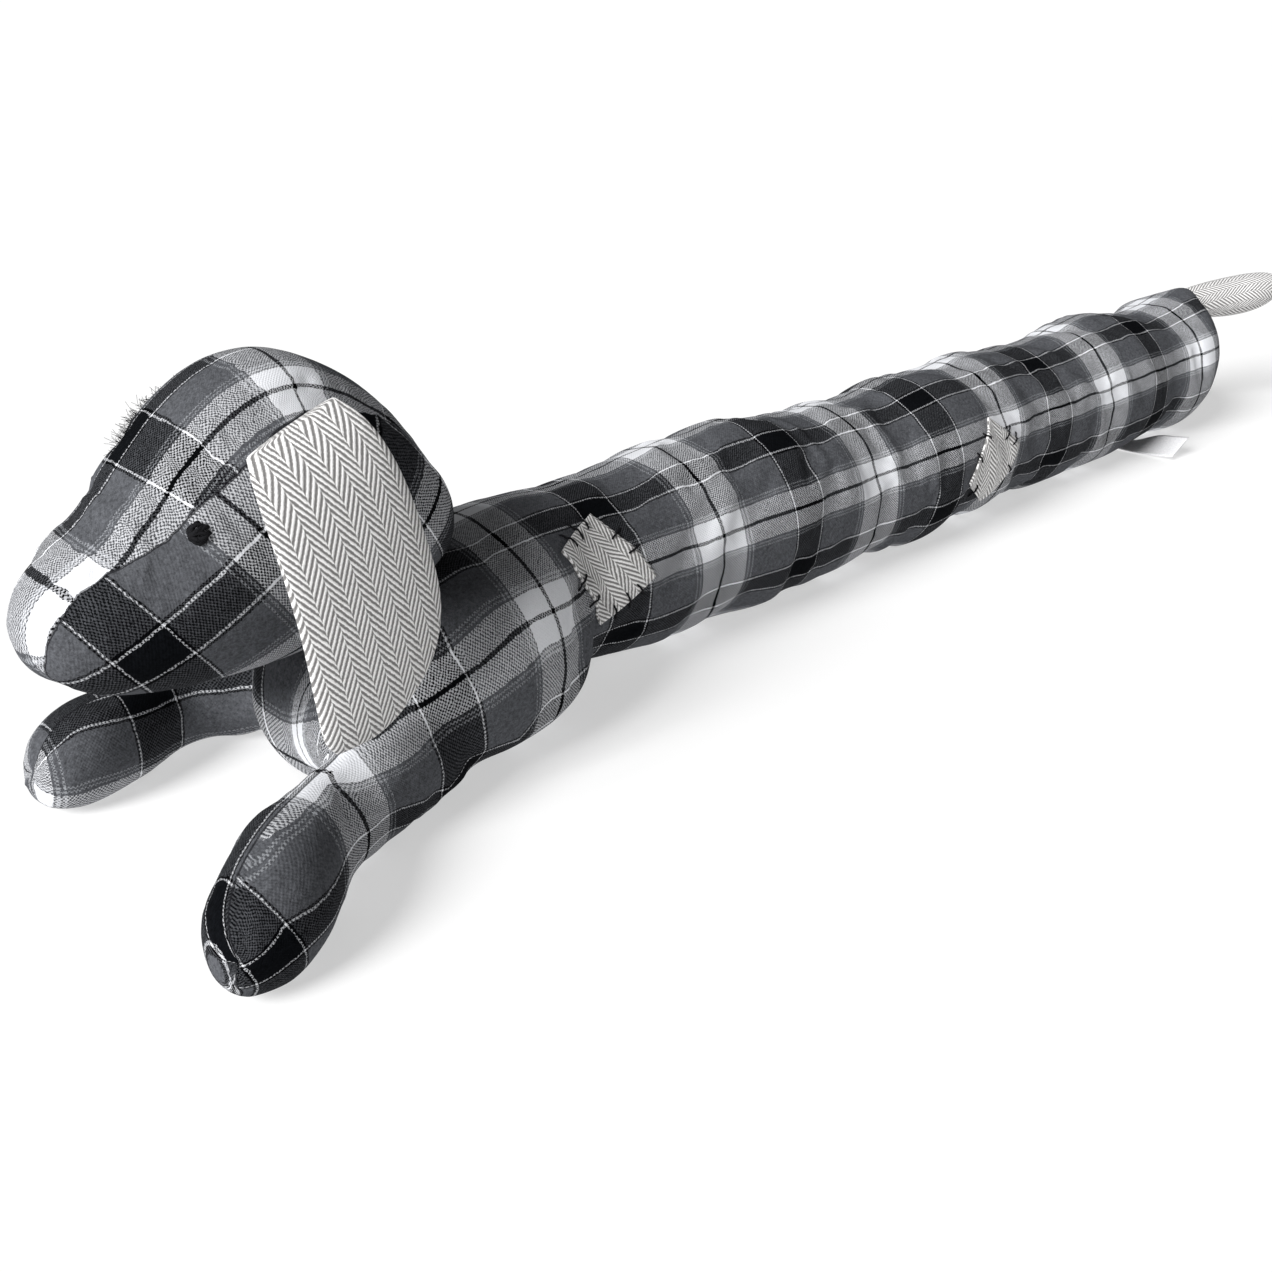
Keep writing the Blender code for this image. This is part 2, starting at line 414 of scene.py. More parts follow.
# stripes: the distance from the nearest black line, folded at half a repeat, picks the tone
def threads(tree, place, repeat, stops):
    half = repeat / 2
    fromLine = maths(tree, "PINGPONG", place, half)
    share = maths(tree, "DIVIDE", fromLine, half)
    return ramp(tree, share, [(mm / 1000 / half, checkCloth[tone]) for mm, tone in stops])


def ranged(tree, value, start, end, low=0.0, high=1.0):
    made = tree.nodes.new("ShaderNodeMapRange")
    for name, number in (("From Min", start), ("From Max", end), ("To Min", low), ("To Max", high)):
        made.inputs[name].default_value = number
    tree.links.new(value, made.inputs["Value"])
    return made.outputs[0]


# a line's stray: noise about zero, as wide as asked
def strayed(tree, place, scale, detail, width):
    return times(tree, minus(tree, noise(tree, place, scale, detail), 0.5), width)


# two sets of stripes cross: where the weave's wave and the grain are high the lengthwise thread
# lies on top, elsewhere the one across; then freckles, strongest in the dark tones, and painted shade
# along the seam
def makeCheck():
    facts = checkCloth
    material, tree, shader = startMaterial("checkCloth")
    front, back = attribute(tree, "clothA")["Vector"], attribute(tree, "clothB")["Vector"]
    seamFar = apart(tree, front)[2]
    onBack = maths(tree, "LESS_THAN", seamFar, 0.0)
    u, v, _ = apart(tree, mixed(tree, onBack, front, back, kind="VECTOR"))
    place = objectPlace(tree)
    wobble = strayed(tree, place, facts["wobbleScale"], 1, facts["wobble"])
    across = threads(tree, plus(tree, u, wobble), facts["lengthRepeat"], lengthStops)
    along = threads(tree, plus(tree, v, wobble), facts["girthRepeat"], girthStops)
    rate = 2 * math.pi / facts["weave"]
    wave = times(tree, maths(tree, "SINE", times(tree, u, rate)),
                 maths(tree, "SINE", times(tree, v, rate)))
    grain = noise(tree, place, facts["grainScale"], 2, 0.7)
    pepper = times(tree, wave, facts["waveShare"])
    pepper = plus(tree, pepper, times(tree, grain, facts["grainShare"]))
    colour = mixed(tree, ranged(tree, pepper, *facts["onTop"]), across, along)
    first, second = apart(tree, across)[0], apart(tree, along)[0]
    difference = maths(tree, "ABSOLUTE", minus(tree, first, second))
    total = plus(tree, plus(tree, first, second), 0.001)
    apartness = maths(tree, "DIVIDE", difference, total)
    covered = minus(tree, 1.0, times(tree, apartness, facts["shade"]))
    mottle = noise(tree, place, facts["mottleScale"], 4, 0.85)
    tone = ranged(tree, mottle, *facts["mottleFrom"], *facts["mottle"])
    calm = maths(tree, "POWER", minus(tree, 1.0, apart(tree, colour)[0]), 2.0)
    freckles = times(tree, minus(tree, tone, 1.0), calm)
    freckled = plus(tree, 1.0, freckles)
    scaled = tree.nodes.new("ShaderNodeVectorMath")
    scaled.operation = "SCALE"
    tree.links.new(colour, scaled.inputs[0])
    tree.links.new(times(tree, freckled, covered), scaled.inputs["Scale"])
    # painted shade: a dark line along the seam, where its groove would fall into shade
    inSeamShade = maths(tree, "LESS_THAN", maths(tree, "ABSOLUTE", seamFar), facts["seamShade"])
    final = mixed(tree, times(tree, inSeamShade, facts["seamShadeStrength"]), scaled.outputs[0],
                  facts["seamShadeColour"])
    coated(tree, shader, final, roughness=0.95, specular=0.02)
    height = plus(tree, times(tree, wave, 0.5), grain)
    bump(tree, height, shader, 0.35, facts["relief"])
    return material


# the herringbone cloth

herringbone = {
    "column": 0.006,  # width of one column of slanting lines
    "line": 0.0036,  # from one line to the next, along the column
    "slope": 1.5,
    "light": (0.84, 0.83, 0.825),
    "lightest": (0.88, 0.87, 0.865),
    "middle": (0.25, 0.245, 0.24),
    "dark": (0.16, 0.155, 0.155),
    "thread": 0.00055,  # from one fine thread to the next
    "threadShare": 0.18,
    "grainShare": 1.6,
    "wobble": 0.0006,
    "relief": 0.0004,
}


# slanting lines in columns: the place along a column plus a zigzag across it goes through a sine,
# and every second column is set half a line on
def makeHerringbone():
    facts = herringbone
    material, tree, shader = startMaterial("herringboneCloth")
    u, v, _ = apart(tree, attribute(tree, "cloth")["Vector"])
    place = objectPlace(tree)
    wobble = strayed(tree, place, 700, 2, facts["wobble"])
    strayedU = plus(tree, u, wobble)
    zigzag = maths(tree, "PINGPONG", strayedU, facts["column"])
    slanted = plus(tree, v, times(tree, zigzag, facts["slope"]))
    columnNumber = maths(tree, "FLOOR", maths(tree, "DIVIDE", strayedU, facts["column"]))
    odd = maths(tree, "PINGPONG", columnNumber, 1.0)
    slanted = plus(tree, slanted, times(tree, odd, facts["line"] / 2))
    slanted = plus(tree, slanted, wobble)
    wave = maths(tree, "SINE", times(tree, slanted, 2 * math.pi / facts["line"]))
    diagonal = minus(tree, u, v)
    thread = maths(tree, "SINE", times(tree, diagonal, 2 * math.pi / facts["thread"]))
    grain = minus(tree, noise(tree, place, 1700, 2, 0.6), 0.5)
    height = plus(tree, wave, times(tree, grain, facts["grainShare"]))
    height = plus(tree, height, times(tree, thread, facts["threadShare"]))
    colour = ramp(tree, plus(tree, times(tree, height, 0.32), 0.5),
                  [(0.08, facts["dark"]), (0.4, facts["middle"]), (0.62, facts["light"]),
                   (1.0, facts["lightest"])], smooth=True)
    coated(tree, shader, colour, roughness=0.95, specular=0.2, sheen=0.15)
    bump(tree, height, shader, 0.4, facts["relief"])
    return material


yarnTones = {"dark": (0.002, 0.002, 0.003), "light": (0.014, 0.014, 0.016), "relief": 0.0004}


# fine noise for the fibres, between two near blacks
def makeYarn():
    material, tree, shader = startMaterial("blackYarn")
    fibre = noise(tree, objectPlace(tree), 2600, 3, 0.7)
    colour = ramp(tree, fibre, [(0.3, yarnTones["dark"]), (0.75, yarnTones["light"])], smooth=True)
    coated(tree, shader, colour, roughness=0.85, specular=0.15)
    bump(tree, fibre, shader, 0.5, yarnTones["relief"])
    return material


tape = {"rib": 0.0006, "dark": (0.7, 0.7, 0.72), "light": (0.86, 0.86, 0.87), "relief": 0.0002}


# ribs across the tape, a sine of the place along it, over a light grain
def makeTape():
    material, tree, shader = startMaterial("labelTape")
    v = apart(tree, attribute(tree, "cloth")["Vector"])[1]
    ribs = maths(tree, "SINE", times(tree, v, 2 * math.pi / tape["rib"]))
    grain = noise(tree, objectPlace(tree), 900, 2)
    colour = ramp(tree, grain, [(0.25, tape["dark"]), (0.75, tape["light"])], smooth=True)
    coated(tree, shader, colour, roughness=0.55, sheen=0.1)
    bump(tree, plus(tree, ribs, grain), shader, 0.15, tape["relief"])
    return material


checkMaterial = makeCheck()
herringboneMaterial = makeHerringbone()
yarnMaterial = makeYarn()
tapeMaterial = makeTape()
print("stage: materials")


# camera, light and floor

view = {
    "place": (-0.6454, -0.4935, 0.3337),
    "turn": (63.82, 0.0, -43.62),
    "lens": 39.62,
}


studio = {
    "sky": 0.16,
    "sun": 5.2,
    "sunWidth": 28,  # degrees across, the softness of the shadows
    "sunHeading": (0.83, 0.04, -0.55),
    "floorReach": 40,
    "floorGap": 0.0004,
    "floorTones": (0.47, 0.49),
    "floorGlow": 0.52,
}


# the floor is one wide flat square under the part
def makeStage():
    lens = bpy.data.cameras.new("camera")
    lens.lens = view["lens"]
    lens.sensor_width = 36
    lens.clip_start = 0.01
    camera = bpy.data.objects.new("camera", lens)
    camera.location = view["place"]
    camera.rotation_euler = [math.radians(a) for a in view["turn"]]
    scene.collection.objects.link(camera)
    scene.camera = camera
    world = bpy.data.worlds.new("studio")
    world.use_nodes = True
    sky = world.node_tree.nodes["Background"]
    sky.inputs[0].default_value = (1, 1, 1, 1)
    sky.inputs[1].default_value = studio["sky"]
    scene.world = world
    sun = bpy.data.lights.new("keyLight", "SUN")
    sun.energy = studio["sun"]
    sun.angle = math.radians(studio["sunWidth"])
    key = bpy.data.objects.new("keyLight", sun)
    key.rotation_euler = Vector(studio["sunHeading"]).to_track_quat("-Z", "Y").to_euler()
    scene.collection.objects.link(key)
    reach = np.linspace(-studio["floorReach"], studio["floorReach"], 3)
    y, x = np.meshgrid(reach, reach, indexing="ij")
    material, tree, shader = startMaterial("studioFloor")
    grain = noise(tree, objectPlace(tree), 3, 2)
    dark, light = studio["floorTones"]
    colour = ramp(tree, grain, [(0.0, (dark,) * 3), (1.0, (light,) * 3)], smooth=True)
    coated(tree, shader, colour, roughness=0.9)
    shader.inputs["Emission Color"].default_value = (1, 1, 1, 1)
    shader.inputs["Emission Strength"].default_value = studio["floorGlow"]
    points = np.stack([x, y, 0 * x - studio["floorGap"]], -1)
    floor = newPiece("studioFloor", gridMesh("studioFloor", points), material)
    scene.view_settings.view_transform = "Standard"
    scene.view_settings.look = "None"


makeStage()
print("stage: camera, light and floor")


# the body, with both front legs

body = {
    "middle": 0.05,  # height of the tube's middle line
    "lineFromTop": 71.0,  # degrees from the top to the cloth's black line, on the dog's left
    "firstLine": -0.2874,  # where the cloth's black cross line is, along the tube
    "topSeam": -13.0,  # degrees from the top to the closing seam
    "seamReach": 0.007,  # how far from the closing seam the cloth is drawn in
    "cell": 0.0042,
    "filling": {"pressure": 4.0, "cap": 0.0011, "frames": 16, "seamPull": 0.1, "looseness": 0.01},
}

# the legs' middle lines: along, across, radius, and degrees from the top outwards to the seam
legLeft = [(-0.318, -0.03, 0.03, -10), (-0.35, -0.046, 0.028, -10), (-0.378, -0.06, 0.025, -10),
           (-0.401, -0.069, 0.021, -10), (-0.421, -0.078, 0.021, -12), (-0.44, -0.09, 0.023, -16),
           (-0.457, -0.104, 0.0235, -22), (-0.471, -0.116, 0.021, -26), (-0.485, -0.129, 0.016, -30)]
legRight = [(-0.318, 0.014, 0.03, 0), (-0.348, 0.036, 0.028, 0), (-0.378, 0.056, 0.024, 0),
            (-0.402, 0.064, 0.02, 0), (-0.42, 0.062, 0.02, 0), (-0.438, 0.055, 0.0225, 0),
            (-0.455, 0.051, 0.023, 0), (-0.468, 0.048, 0.021, 0), (-0.487, 0.043, 0.015, 0)]

# how the check lies on the left shoulder and leg: a place on the cloth (along, across, height),
# then how far along the cloth and round it from where two black lines cross, in millimetres
shoulderCheck = [
    (-299, -67, 72, -12, 0), (-343, -70, 60, -56, 0),
    (-362, -67, 53, -75, 0), (-383, -69, 49, -98, 0),
    (-410, -74, 44, -129, 0), (-412, -80, 43, -129, 12),
    (-363, -75, 40, -76, 12), (-429, -90, 44, -149, 12),
    (-446, -102, 46, -162, 12), (-466, -110, 44, -178, 12),
    (-433, -81, 44, -149, 3), (-426, -105, 33, -149, 26),
    (-404, -90, 23, -129, 31), (-387, -84, 22, -108, 31),
    (-355, -73, 14, -72, 31), (-332, -71, 21, -53, 31),
    (-312, -69, 18, -30, 31), (-289, -70, 30, -2, 31),
    (-338, -74, 50, -53, 9), (-345, -65, 68, -55, -9),
    (-464, -129, 32, -182, 31), (-482, -129, 23, -205, 31),
    (-446, -125, 19, -168, 44), (-458, -131, 19, -182, 44),
    (-477, -132, 13, -205, 44), (-468, -119, 40, -182, 19),
    (-485, -119, 29, -205, 16), (-412, -94, 15, -136, 42),
    (-430, -100, 3, -149, 62), (-380, -75, 3, -100, 55),
]


# places on a leg: how far along it from the shoulder, and the angle from its top, outwards
def legPlaces(points, rows, outward):
    fine = throughRows(rows, np.linspace(0, len(rows) - 1, 161))
    line = fine[:, :2]
    step = np.linalg.norm(np.diff(line, axis=0), axis=1)
    travelled = np.concatenate([[0], np.cumsum(step)])
    heading = unit(np.gradient(line, axis=0))
    away = np.linalg.norm(points[:, None, :2] - line[None], axis=2)
    near = away.argmin(1)
    offset = points[:, :2] - line[near]
    ahead = (offset * heading[near]).sum(1)
    sideways = (offset[:, 1] * heading[near, 0] - offset[:, 0] * heading[near, 1]) * outward
    angle = np.arctan2(sideways, points[:, 2] - 0.023)
    return travelled[near] + ahead, angle, fine[near, 2], np.radians(fine[near, 3]), away.min(1)


# cloth coordinates on the tube: metres along it, and metres round it from the black line
def tubePlaces(points):
    x, y, z = points.T
    drift = np.interp(x, [-0.362, -0.343, -0.299, -0.2], [88, 81, 72, body["lineFromTop"]])
    girth = np.interp(x, [-0.36, -0.3, -0.24], [0.06, 0.058, 0.05])
    around = np.arctan2(-y, z - body["middle"])
    fromLine = (around - np.radians(drift) + np.pi) % (2 * np.pi) - np.pi
    return np.stack([x - body["firstLine"], fromLine * girth], 1), around


# a smooth field through known places: each pulls in proportion to its distance, plus a plane
def smoothField(places, values, points):
    count = len(places)
    reach = np.linalg.norm(places[:, None] - places[None], axis=2)
    plane = np.hstack([np.ones((count, 1)), places])
    system = np.block([[reach, plane], [plane.T, np.zeros((4, 4))]])
    weights = np.linalg.lstsq(system, np.vstack([values, np.zeros((4, 2))]), rcond=1e-9)[0]
    out = np.empty((len(points), 2))
    portion = 20000
    for first in range(0, len(points), portion):
        part = points[first:first + portion]
        pull = np.linalg.norm(part[:, None] - places[None], axis=2)
        out[first:first + portion] = np.hstack([pull, np.ones((len(part), 1)), part]) @ weights
    return out


def shoulderField(points):
    known = np.array(shoulderCheck, float) / 1000
    degrees = [50, 20, -15, -55, -100]
    x, angle = np.meshgrid([-0.3, -0.335, -0.37], np.radians(degrees), indexing="ij")
    ring = np.stack([x, -0.012 - 0.058 * np.sin(angle), 0.05 + 0.05 * np.cos(angle)], -1).reshape(-1, 3)
    places = np.vstack([known[:, :3], ring])
    values = np.vstack([known[:, 3:], tubePlaces(ring)[0]])
    return smoothField(places, values, points)


# the chest, between the legs: cloth of its own, with its lines upright and level
def chestField(points):
    y, z = points[:, 1], points[:, 2]
    darkLine = -0.0085 - (0.044 - z) * 0.35
    return np.stack([0.0199 + (z - 0.046), -0.03075 + (darkLine - y) * 0.66], 1)


# tube, shoulders, chest and legs each have cloth coordinates, joined by smooth steps; a negative
# distance from the seam means that the inner cloth shows
def bodyCoordinates(points):
    x, y = points[:, 0], points[:, 1]
    tube, around = tubePlaces(points)
    nearSide = points.copy()
    nearSide[:, 1] = -np.abs(y)
    shoulder = shoulderField(nearSide)
    ridge = shoulderField(np.stack([x, 0 * x, 0 * x + 0.098], 1))
    shoulder[:, 1] = np.where(y > 0, 2 * ridge[:, 1] - shoulder[:, 1], shoulder[:, 1])
    front = smoothStep(-x, 0.296, 0.316)[:, None]
    outer = tube + (shoulder - tube) * front
    inner = chestField(points)
    seamFar = np.where(x < -0.33, x + 0.373, 0.05)

    travel, angle, radius, seam, away = legPlaces(points, legLeft, 1)
    chestEdge = np.interp(x, [-0.41, -0.37], [-0.03, -0.047])
    onLeft = (away < 0.05) & (y < chestEdge) & (travel > 0.05)
    fromSeam = radius * (angle - seam)
    seamFar = np.where(onLeft, fromSeam, seamFar)
    legU = np.interp(x, [-0.49, -0.486, -0.472, -0.412, -0.36],
                     [-0.081, -0.076, -0.053, 0.0, 0.044])
    legInner = np.stack([legU, 0.0275 - fromSeam], 1)
    chestShare = smoothStep(y - chestEdge, -0.014, 0.01)[:, None]
    joined = legInner + (inner - legInner) * chestShare
    inner = np.where(((away < 0.06) & (travel > 0.04))[:, None], joined, inner)

    travel, angle, radius, seam, away = legPlaces(points, legRight, -1)
    onRight = (away < 0.05) & (y > 0.02) & (travel > 0.06)
    fromSeam = radius * (angle - seam)
    seamFar = np.where(onRight, fromSeam, seamFar)
    whiteLine = np.radians(np.interp(x, [-0.477, -0.464, -0.44, -0.414, -0.393],
                                     [35, 38, 50, 61, 68]))
    farU = 0.0529 + (x + 0.44) * 0.94
    farV = 0.03075 + 0.75 * radius * (angle + whiteLine)
    inner = np.where(onRight[:, None], np.stack([farU, farV], 1), inner)
    outer = np.where(onRight[:, None], np.stack([farU + 0.03, 0.047 + fromSeam], 1), outer)
    legShare = np.where(onLeft | onRight, 1.0, 0.0)
    return outer, seamFar, inner, around, legShare


creasing = {
    "depth": 0.2,  # share of each crease's depth below that is used
    "roll": 0.35,  # height of the rolls beside a crease, in depths
    "rollAt": 2.1,  # their distance from its middle, in half-widths
    "lumps": 0.0008,
    "lumpSize": 0.08,
    "ripples": 0.0001,
    "rippleSize": 0.028,
}
# creases in the tube: along, degrees from the top, run (degrees from lengthwise), half its length,
# its half-width and its depth
creases = [(0.229, -6, 52, 0.03, 0.0055, 0.0058), (0.088, -4, 48, 0.03, 0.0055, 0.0056),
           (-0.022, -8, 50, 0.03, 0.006, 0.0045), (-0.13, -22, 60, 0.024, 0.006, 0.003),
           (0.306, 4, 60, 0.022, 0.0055, 0.004), (0.352, -10, 70, 0.02, 0.006, 0.0035),
           (-0.248, 118, 88, 0.04, 0.0065, 0.0062), (-0.238, 20, 75, 0.03, 0.007, 0.003),
           (0.352, 75, 84, 0.04, 0.008, 0.0032), (0.12, 112, 60, 0.024, 0.006, 0.0036),
           (0.06, 118, 105, 0.02, 0.006, 0.003), (-0.098, 122, 75, 0.026, 0.006, 0.0034),
           (0.01, 124, 100, 0.022, 0.006, 0.003), (0.205, 120, 78, 0.026, 0.006, 0.0034),
           (0.3, 124, 95, 0.022, 0.006, 0.003),
           (0.102, 62, 30, 0.02, 0.005, 0.0026), (-0.18, -60, 80, 0.04, 0.008, 0.004),
           (0.15, -70, 85, 0.04, 0.008, 0.004), (-0.05, -75, 95, 0.036, 0.008, 0.0036)]
# dents and one raised corner: along, across, height, reach, how far the cloth moves out
dents = [(-0.385, -0.094, 0.014, 0.01, -0.0035), (0.404, -0.004, 0.097, 0.012, 0.004)]


# each crease is a groove with a low roll on both sides; soft lumps are added over the whole tube
def creased(points, normals):
    around = np.arctan2(-points[:, 1], points[:, 2] - body["middle"])
    moved = creasing["lumps"] * softNoise(points, creasing["lumpSize"], 3)
    moved += creasing["ripples"] * softNoise(points, creasing["rippleSize"], 4)
    for along, degrees, run, length, width, depth in creases:
        off = (around - math.radians(degrees) + np.pi) % (2 * np.pi) - np.pi
        x, arc = points[:, 0] - along, off * body["middle"]
        turn = math.radians(run)
        forward = x * math.cos(turn) + arc * math.sin(turn)
        side = arc * math.cos(turn) - x * math.sin(turn) + 0.25 * forward ** 2 / length
        ends = np.exp(-(forward / length) ** 4)
        fromRoll = (np.abs(side) - creasing["rollAt"] * width) / width
        profile = creasing["roll"] * np.exp(-fromRoll ** 2) - np.exp(-(side / width) ** 2)
        moved += creasing["depth"] * depth * ends * profile
    for x, y, z, reach, out in dents:
        away = np.linalg.norm(points - np.array([x, y, z]), axis=1)
        moved += out * np.exp(-(away / reach) ** 2)
    return points + normals * moved[:, None]


def makeBody():
    piece = evenCopy("bodyCloth", "body", body["cell"], checkMaterial)
    mesh = piece.data
    start = readPoints(mesh)
    writePoints(mesh, creased(start, readVectors(mesh.vertex_normals, "vector")))
    outer, seamFar, inner, around, legShare = bodyCoordinates(start)
    topFar = (around - math.radians(body["topSeam"])) * body["middle"]
    onTube = smoothStep(start[:, 0], -0.3, -0.27) * (1 - legShare)
    pull = onTube * np.exp(-(topFar / body["seamReach"]) ** 2)
    pull = np.maximum(pull, np.exp(-(seamFar / 0.004) ** 2))
    putAttribute(mesh, "clothA", np.column_stack([outer, seamFar]))
    putAttribute(mesh, "clothB", np.column_stack([inner, topFar]))
    putAttribute(mesh, "seamPull", pull)
    inflate(piece, **body["filling"])
    mesh = finer(piece)
    points = readPoints(mesh)
    points[:, 2] = np.maximum(points[:, 2], 0)
    writePoints(mesh, points)
    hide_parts("body")
    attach(piece, "root")
    return piece


bodyPiece = makeBody()
print("stage: body", len(bodyPiece.data.vertices))


# the head

head = {
    "middle": -0.011,
    "gussetLine": -0.036,  # where the gusset's black line runs, across the head
    "sideTilt": 36.0,  # degrees that the side panels' cloth is turned
    "sideStretch": 1.3,  # how far it is pulled out across its length
    "seamReach": 0.004,
    "cell": 0.0034,
    "filling": {"pressure": 4.0, "cap": 0.001, "frames": 14, "seamPull": 0.06, "looseness": 0.005},
}

# the gusset's edge: along, height; and the gusset's middle line, from neck to nose
gussetEdge = [(-0.484, -0.018, 0.088), (-0.49, -0.02, 0.095), (-0.492, -0.026, 0.105),
              (-0.489, -0.029, 0.115), (-0.478, -0.032, 0.128), (-0.465, -0.036, 0.136),
              (-0.45, -0.042, 0.143), (-0.435, -0.046, 0.154), (-0.416, -0.049, 0.166),
              (-0.4, -0.047, 0.176), (-0.38, -0.045, 0.18), (-0.355, -0.042, 0.174),
              (-0.335, -0.036, 0.16), (-0.318, -0.028, 0.14), (-0.31, -0.022, 0.118)]
crown = [(-0.3, 0.1), (-0.312, 0.135), (-0.325, 0.152), (-0.341, 0.17), (-0.361, 0.187),
         (-0.386, 0.197), (-0.41, 0.192), (-0.432, 0.177), (-0.451, 0.158), (-0.469, 0.144),
         (-0.484, 0.132), (-0.493, 0.121), (-0.497, 0.11), (-0.492, 0.098), (-0.48, 0.086)]


# the gusset's cloth follows the crown's line, each side's cloth is flat and turned; the sign of
# the distance from the gusset's edge says which one shows
def headCoordinates(points):
    mirrored = points.copy()
    mirrored[:, 1] = head["middle"] - np.abs(points[:, 1] - head["middle"])
    edge = throughRows(gussetEdge, np.linspace(0, len(gussetEdge) - 1, 181))
    away = np.linalg.norm(mirrored[:, None] - edge[None], axis=2)
    near = away.argmin(1)
    tangent = unit(np.gradient(edge, axis=0))
    middlePoint = np.array([-0.41, head["middle"], 0.125])
    outward = edge - middlePoint
    across = unit(np.cross(tangent, outward))
    sign = np.sign(((mirrored - edge[near]) * across[near]).sum(1))
    towardMiddle = np.sign((np.array([0, 1, 0]) * across[near]).sum(1))
    onGusset = sign * towardMiddle
    seamFar = away.min(1) * onGusset
    line = throughRows(crown, np.linspace(0, len(crown) - 1, 181))
    travelled = np.concatenate([[0], np.cumsum(np.linalg.norm(np.diff(line, axis=0), axis=1))])
    nearCrown = np.linalg.norm(points[:, None, [0, 2]] - line[None], axis=2).argmin(1)
    crownU = (travelled[nearCrown] - np.interp(0.385, -line[:, 0][:120], travelled[:120])) * 1.06
    repeat = checkCloth["lengthRepeat"]
    crownU = np.where(crownU > repeat, repeat + (crownU - repeat) * 0.5, crownU)
    blackLine = np.interp(points[:, 0], [-0.491, -0.48, -0.466, -0.43],
                          [-0.028, -0.032, -0.0355, head["gussetLine"]])
    gussetV = (points[:, 1] - blackLine) * 1.15
    tilt = math.radians(head["sideTilt"])
    x, z = points[:, 0], points[:, 2]
    sideU = (x * math.cos(tilt) + z * math.sin(tilt) + 0.2528) * 1.1
    sideV = (-x * math.sin(tilt) + z * math.cos(tilt) - 0.3525) / head["sideStretch"] - 0.0375
    return crownU, gussetV, seamFar, sideU, sideV


def makeHead():
    piece = evenCopy("headCloth", "head", head["cell"], checkMaterial)
    mesh = piece.data
    start = readPoints(mesh)
    crownU, gussetV, seamFar, sideU, sideV = headCoordinates(start)
    putAttribute(mesh, "clothA", np.stack([crownU, gussetV, seamFar], 1))
    putAttribute(mesh, "clothB", np.stack([sideU, sideV, seamFar], 1))
    putAttribute(mesh, "seamPull", np.exp(-(seamFar / head["seamReach"]) ** 2))
    inflate(piece, **head["filling"])
    finer(piece)
    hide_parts("head")
    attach(piece, "root")
    return piece


headPiece = makeHead()


# loose fibres that stand out of the cloth on the right of the forehead, along this line
fuzzLine = [(-0.441, 0.000, 0.166), (-0.432, 0.009, 0.172), (-0.421, 0.018, 0.176),
            (-0.405, 0.026, 0.184), (-0.388, 0.03, 0.188)]
fuzz = {
    "fibres": 300,
    "length": 0.0032,
    "radius": 0.00007,
    "spread": 0.0024,  # how far a fibre's root may lie from the line
    "lean": 0.45,
    "depth": 0.0003,  # how deep a root sits in the cloth
}


# a fibre: a thin tube along a curve that leans more and more from the cloth's outward direction
def makeFuzz():
    draw = np.random.default_rng(11)
    surface = surfaceOf(headPiece)
    edge = throughRows(fuzzLine, np.linspace(0, len(fuzzLine) - 1, 240))
    meshes = []
    for _ in range(fuzz["fibres"]):
        start = edge[draw.integers(len(edge))] + draw.normal(0, fuzz["spread"], 3)
        place, normal, _, _ = surface.find_nearest(Vector(start))
        place, normal = np.array(place), np.array(normal)
        lean = draw.normal(0, fuzz["lean"], 3)
        length = fuzz["length"] * draw.uniform(0.35, 1.0)
        steps = np.linspace(0, 1, 4)[:, None]
        path = place - normal * fuzz["depth"] + (normal + lean * steps) * steps * length
        meshes.append(tubeMesh("fibre", path, fuzz["radius"]))
    piece = newPiece("headFuzz", joinMeshes("headFuzz", meshes), yarnMaterial)
    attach(piece, "root")


makeFuzz()
print("stage: head and fuzz")


# the ears

ear = {
    "rows": 64,
    "across": 22,  # points from the front edge to the back edge, on each layer
    "lean": 8,  # degrees from upright to the cloth's columns
    "rightBack": 0.006,
    "rightUp": 0.006,
    "rightTop": 0.01,  # how much its sewn edge drops towards the back
    "clearOutside": 0.0022,  # least distance of the outer layer from the head
    "clearInside": 0.0005,
}

# from the seam on the head to the tip: front x, front z, back x, back z, sideways place, thickness
earRows = [(-0.415, 0.169, -0.377, 0.184, -0.0475, 0.005), (-0.419, 0.16, -0.37, 0.176, -0.058, 0.006),
           (-0.42, 0.147, -0.364, 0.161, -0.066, 0.008), (-0.419, 0.129, -0.359, 0.138, -0.072, 0.009),
           (-0.4175, 0.106, -0.355, 0.106, -0.077, 0.009), (-0.4165, 0.081, -0.362, 0.083, -0.08, 0.009),
           (-0.415, 0.064, -0.378, 0.066, -0.081, 0.008), (-0.41, 0.056, -0.394, 0.057, -0.081, 0.005)]


